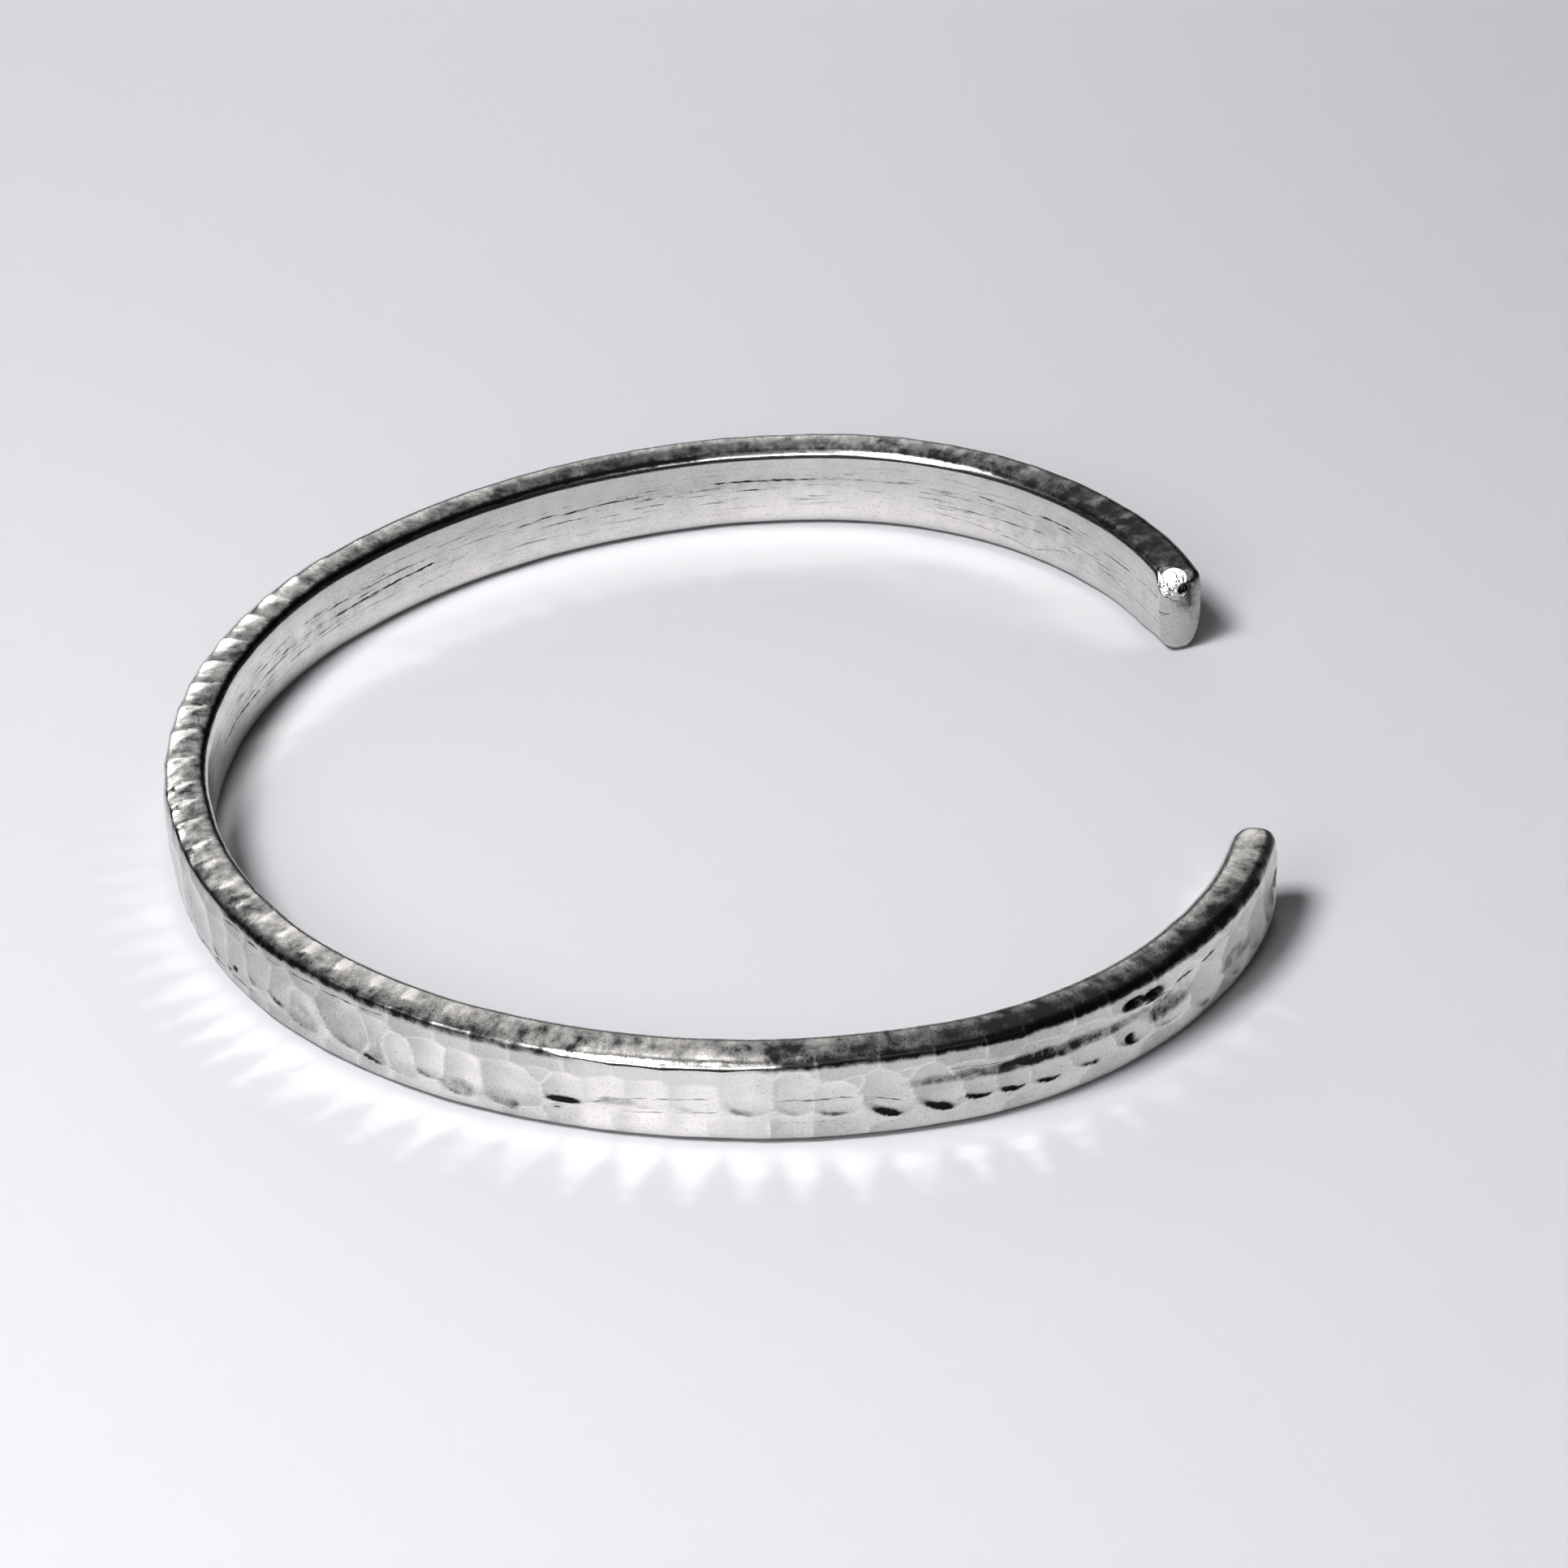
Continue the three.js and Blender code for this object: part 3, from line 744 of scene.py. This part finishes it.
# studio: pale floor, soft lamps and a dark room above them; every lamp is a disc that faces the band
# lamp: name, azimuth from +X, elevation, distance, width, power; where the band throws its light on to the
# floor, then also how much of it the outer and the inner wall throw
studio = {
    "floorSize": 3.0,
    "floorGap": 0.00002,      # below the band
    "floorColour": "#E7E7EC",
    "fineFloor": 0.084,       # side of the square round the band where the floor's cells are fine
    "fineCells": 296,
    "points": 14,             # followed on each lamp
    "pointsOnWide": 40,
    # how bright the light thrown off each wall is: station, share
    "outerShine": [(0, 0.3), (70, 0.12), (86, 0.2), (96, 0.3), (106, 0.33), (114, 0.35), (156, 0.38)],
    "innerShine": [(0, 0.22), (14, 0.3), (20, 0.32), (30, 0.48), (45, 0.48), (60, 0.62), (156, 0.6)],
    # what part of a wall throws it, in mm: from this station on, fading in and out over these heights
    "throwFrom": 0.8,
    "throwFoot": (0.4, 0.7),
    "throwHead": {"outer": (4.45, 4.25), "inner": (4.45, 3.55)},
    # light thrown out flatter than this spreads too thin to see: the sine of its fall, and over what it fades
    "flattest": {"outer": 0.6, "inner": 0.4},
    "flatFade": 0.07,
    # bright fingers, and the strip at their roots, stand square to the outer wall all round; no lamp below
    # makes them. How strong they are: station, share. Then for each of the two how steeply its light falls,
    # half its width, how far off a column of blows gathers it, the run over which it fades towards the top
    # of the wall, and its share
    "fingers": [(74, 0), (84, 0.3), (90, 0.55), (98, 0.8), (122, 0.8), (134, 0.7), (144, 0.35), (152, 0)],
    "fingerLamps": [(44, 0.03, 4.4, 3.8, 1.0), (60, 0.09, 15.0, 1.4, 0.32)],
    "fingerScatter": 0.8,
    "fingerBlur": 0.12,       # the share of the smaller dents that blurs them
    "fingerLean": [(92, 0), (100, 12), (106, 12), (114, 0)],        # station, degrees
    # past the middle of the near arm only the upper part of the wall throws them: station, lowest height
    "fingerFoot": [(124, 0.4), (134, 1.6)],
    "fingerHead": 4.75,
    # these light everything
    "lamps": [
        ("key", -153, 61.6, 0.341, 0.12, 0.92, 0.36, 1.0),
        ("ceiling", -153, 61.6, 1.2, 0.42, 0.8, 0.36, 1.0),
        ("fill", -130, 35, 0.4, 0.15, 0.3, 0, 2.7),
    ],
    # small and only mirrored in the metal, which throws their light on to the floor
    "spots": [
        ("front", -102, 46, 0.45, 0.025, 0.75, 0.3, 0),
        ("side", -146, 47, 0.45, 0.025, 0.42, 0.5, 0),
        ("corner", -78, 46, 0.45, 0.1, 0.2, 0, 6),
    ],
    # low and wide, these lift the floor at its back and front and are not mirrored in the metal
    "washes": [
        ("back wash", 85, 15, 0.2, 0.16, 0.075),
        ("front wash", -112, 15, 0.19, 0.14, 0.065),
    ],
    # pale panels that are only seen mirrored in the metal
    "panels": [
        ("window", 118, 24, 0.45, 0.28, 0.45),
        ("overhead", 88, 63, 0.5, 0.3, 0.45),
        ("behind", 84, 33, 0.8, 0.5, 0.6),
    ],
    "room": "#222224",
}


def lampPlace(azimuth, elevation, distance):
    a, e = math.radians(azimuth), math.radians(elevation)
    return Vector((math.cos(a) * math.cos(e), math.sin(a) * math.cos(e), math.sin(e))) * distance


def discPoints(count, radius):
    # points spread evenly over a disc
    for point in range(count):
        reach = radius * math.sqrt((point + 0.5) / count)
        turn = point * math.pi * (3 - math.sqrt(5))
        yield reach * math.cos(turn), reach * math.sin(turn)


def throwOn(lit, centres, normals, toLamp, sent, flattest, floorHeight):
    # one bounce off every face down to the floor, shared between the nearest corners of its fine cells
    cells, side = studio["fineCells"], studio["fineFloor"]
    toLamp = toLamp / np.linalg.norm(toLamp, axis=1)[:, None]
    facing = (normals * toLamp).sum(1)
    bounced = 2 * facing[:, None] * normals - toLamp
    down = -bounced[:, 2]
    falls = (facing > 0) & (sent > 0) & (down > flattest)
    run = (centres[falls, 2] - floorHeight) / down[falls]
    x, y = ((centres[falls, :2] + bounced[falls, :2] * run[:, None] + side / 2) / (side / cells)).T
    carried = sent[falls] * facing[falls] * ramp(down[falls] - flattest[falls], 0, studio["flatFade"])
    inside = (x > 0) & (x < cells - 1) & (y > 0) & (y < cells - 1)
    x, y, carried = x[inside], y[inside], carried[inside]
    column, row = x.astype(int), y.astype(int)
    dx, dy = x - column, y - row
    for right, partX in ((0, 1 - dx), (1, dx)):
        for up, partY in ((0, 1 - dy), (1, dy)):
            corner = (row + up) * (cells + 1) + column + right
            lit += np.bincount(corner, carried * partX * partY, (cells + 1) ** 2)


def thrownLight(mesh, floorHeight):
    # the lamps are followed once off every face of the band down to the floor; the result is how bright the
    # floor is there, at the corners of its fine cells
    centres = readValues(mesh.polygons, "center", 3)
    areas = readValues(mesh.polygons, "area")
    starts = readValues(mesh.polygons, "loop_start", kind=int)
    corners = readValues(mesh.loops, "vertex_index", kind=int)
    normals = np.add.reduceat(readValues(mesh.vertices, "normal", 3)[corners], starts, axis=0)
    normals /= np.linalg.norm(normals, axis=1)[:, None]
    stations, offsets, heights = readValues(mesh.attributes["barPlace"].data, "vector", 3)[corners[starts]].T
    outer = offsets > 0

    def byWall(values):
        return np.where(outer, values["outer"], values["inner"])

    # only the two walls throw light, each as brightly as it is polished there
    shine = {wall: np.interp(stations, *zip(*studio[wall + "Shine"])) for wall in ("outer", "inner")}
    heads = {wall: ramp(heights, *studio["throwHead"][wall]) for wall in ("outer", "inner")}
    polished = areas * byWall(shine) * byWall(heads) * ramp(heights, *studio["throwFoot"])
    polished *= stations > studio["throwFrom"]
    flattest = byWall(studio["flattest"])

    cells = studio["fineCells"]
    lit = np.zeros((cells + 1) ** 2)
    for name, *place, width, power, byOuter, byInner in studio["lamps"] + studio["spots"]:
        middle = lampPlace(*place)
        way = middle.normalized()
        sideways = way.orthogonal().normalized()
        upwards = way.cross(sideways)
        points = studio["pointsOnWide" if width / middle.length > 0.2 else "points"]
        sent = polished * np.where(outer, byOuter, byInner) * power / math.pi / points
        for right, up in discPoints(points, width / 2):
            toLamp = np.array(middle + right * sideways + up * upwards) - centres
            reached = sent * (toLamp @ np.array(way)) / np.linalg.norm(toLamp, axis=1) ** 3
            throwOn(lit, centres, normals, toLamp, reached, flattest, floorHeight)

    # the fingers: each column of blows gathers light like a hollow mirror
    heading = middleLine(stations)[2]
    straightOut = np.stack([-np.sin(heading), np.cos(heading), 0 * heading], 1)
    alongWall = np.stack([-np.cos(heading), -np.sin(heading), 0 * heading], 1)
    which, across, width = scallopAt(stations)
    hollow = across * width / 4 * (1 + studio["fingerScatter"] * scatter(which + 3.7))
    foot = np.interp(stations, *zip(*studio["fingerFoot"]))
    sent = areas * outer * np.interp(stations, *zip(*studio["fingers"])) * ramp(heights - foot, 0, 0.4)
    sent *= 1 + studio["fingerScatter"] * scatter(which + 9.1)
    lean = np.tan(np.radians(np.interp(stations, *zip(*studio["fingerLean"]))))[:, None]
    points = studio["points"]
    for elevation, halfWidth, focus, fade, share in studio["fingerLamps"]:
        columns = straightOut - (hollow / focus)[:, None] * alongWall
        columns += studio["fingerBlur"] * (normals - straightOut)
        columns /= np.linalg.norm(columns, axis=1)[:, None]
        faded = sent * share / points * ramp(heights, studio["fingerHead"], studio["fingerHead"] - fade)
        steep = math.radians(elevation)
        for right, up in discPoints(points, halfWidth):
            toLamp = math.cos(steep) * (straightOut + lean * alongWall) + right * alongWall
            toLamp[:, 2] += math.sin(steep) + up
            throwOn(lit, centres, columns, toLamp, faded, flattest, floorHeight)

    lit = lit.reshape(cells + 1, cells + 1)
    for axis in (0, 1):
        lit = (np.roll(lit, 1, axis) + 2 * lit + np.roll(lit, -1, axis)) / 4
    return lit * toLinear(studio["floorColour"])[1] / math.pi / (studio["fineFloor"] / cells) ** 2


def makeFloor(metal):
    # one flat sheet, its cells fine round the band to carry, painted on as a glow, the light thrown off the
    # metal
    cells, side = studio["fineCells"], studio["fineFloor"]
    floorHeight = bandLow.z - studio["floorGap"]
    bm = bmesh.new()
    bmesh.ops.create_grid(bm, x_segments=cells + 2, y_segments=cells + 2, size=side / 2 * (cells + 2) / cells)
    mesh = bpy.data.meshes.new("floor")
    bm.to_mesh(mesh)
    bm.free()
    flat = readValues(mesh.vertices, "co", 3)
    place = np.rint((flat[:, :2] + side / 2) / (side / cells)).astype(int)
    inside = ((place >= 0) & (place <= cells)).all(1)
    lit = thrownLight(metal.data, floorHeight)
    column, row = np.clip(place, 0, cells).T
    thrown = np.where(inside, lit[row, column], 0)
    storeFloats(mesh, "thrown", thrown)
    wide = studio["floorSize"] / 2
    flat[:, :2] = np.where(place < 0, -wide, np.where(place > cells, wide, flat[:, :2]))
    mesh.vertices.foreach_set("co", flat.ravel())
    floor = bpy.data.objects.new("floor", mesh)
    bpy.context.scene.collection.objects.link(floor)
    floor.location.z = floorHeight

    # matt card: no gloss to speak of, a little cool
    material = bpy.data.materials.new("matt white card")
    material.use_nodes = True
    tree = material.node_tree
    shader = tree.nodes["Principled BSDF"]
    shader.inputs["Base Color"].default_value = toLinear(studio["floorColour"])
    shader.inputs["Roughness"].default_value = 0.9
    shader.inputs["Specular IOR Level"].default_value = 0.2
    # painted light: the floor glows with the light thrown off the band
    light = addNode(tree, "Attribute", {"attribute_name": "thrown"}, output="Fac")
    tree.links.new(light, shader.inputs["Emission Strength"])
    mesh.materials.append(material)
    print("floor made, brightest thrown light", round(float(thrown.max()), 2))


def makeLights():
    for group in ("lamps", "washes", "spots", "panels"):
        for name, azimuth, elevation, distance, width, power, *thrown in studio[group]:
            light = bpy.data.lights.new(name, "AREA")
            light.shape = "DISK"
            light.size = width
            light.energy = power
            lamp = bpy.data.objects.new(name, light)
            lamp.location = lampPlace(azimuth, elevation, distance)
            lamp.rotation_mode = "QUATERNION"
            lamp.rotation_quaternion = lamp.location.to_track_quat("Z", "Y")
            lamp.visible_diffuse = group in ("lamps", "washes")
            lamp.visible_glossy = group != "washes"
            bpy.context.scene.collection.objects.link(lamp)
    world = bpy.data.worlds.new("room")
    world.use_nodes = True
    world.node_tree.nodes["Background"].inputs["Color"].default_value = toLinear(studio["room"])
    bpy.context.scene.world = world
    print("lights made")


makeFloor(cuff)
makeLights()


camera = {
    "azimuth": -6.29,
    "elevation": 34.86,
    "distance": 0.250,
    "roll": 2.03,
    "lens": 106.86,
    "aim": (0.0041, 0.0008, 0.0),     # from the middle of the band's box, on the floor
}


def makeCamera():
    middle = (bandLow + bandHigh) / 2
    aim = Vector((middle.x, middle.y, bandLow.z)) + Vector(camera["aim"])
    a, e = math.radians(camera["azimuth"]), math.radians(camera["elevation"])
    back = Vector((math.sin(a) * math.cos(e), -math.cos(a) * math.cos(e), math.sin(e)))
    data = bpy.data.cameras.new("camera")
    data.lens = camera["lens"]
    data.clip_start = 0.01
    data.clip_end = 10
    eye = bpy.data.objects.new("camera", data)
    eye.rotation_mode = "QUATERNION"
    eye.location = aim + back * camera["distance"]
    turn = (-back).to_track_quat("-Z", "Y")
    eye.rotation_quaternion = turn @ Matrix.Rotation(math.radians(-camera["roll"]), 4, "Z").to_quaternion()
    bpy.context.scene.collection.objects.link(eye)
    bpy.context.scene.camera = eye


makeCamera()
bpy.context.scene.view_settings.view_transform = "Standard"
# the floor already glows with the light that the band throws on it, painted on as emission
bpy.context.scene.cycles.caustics_reflective = False
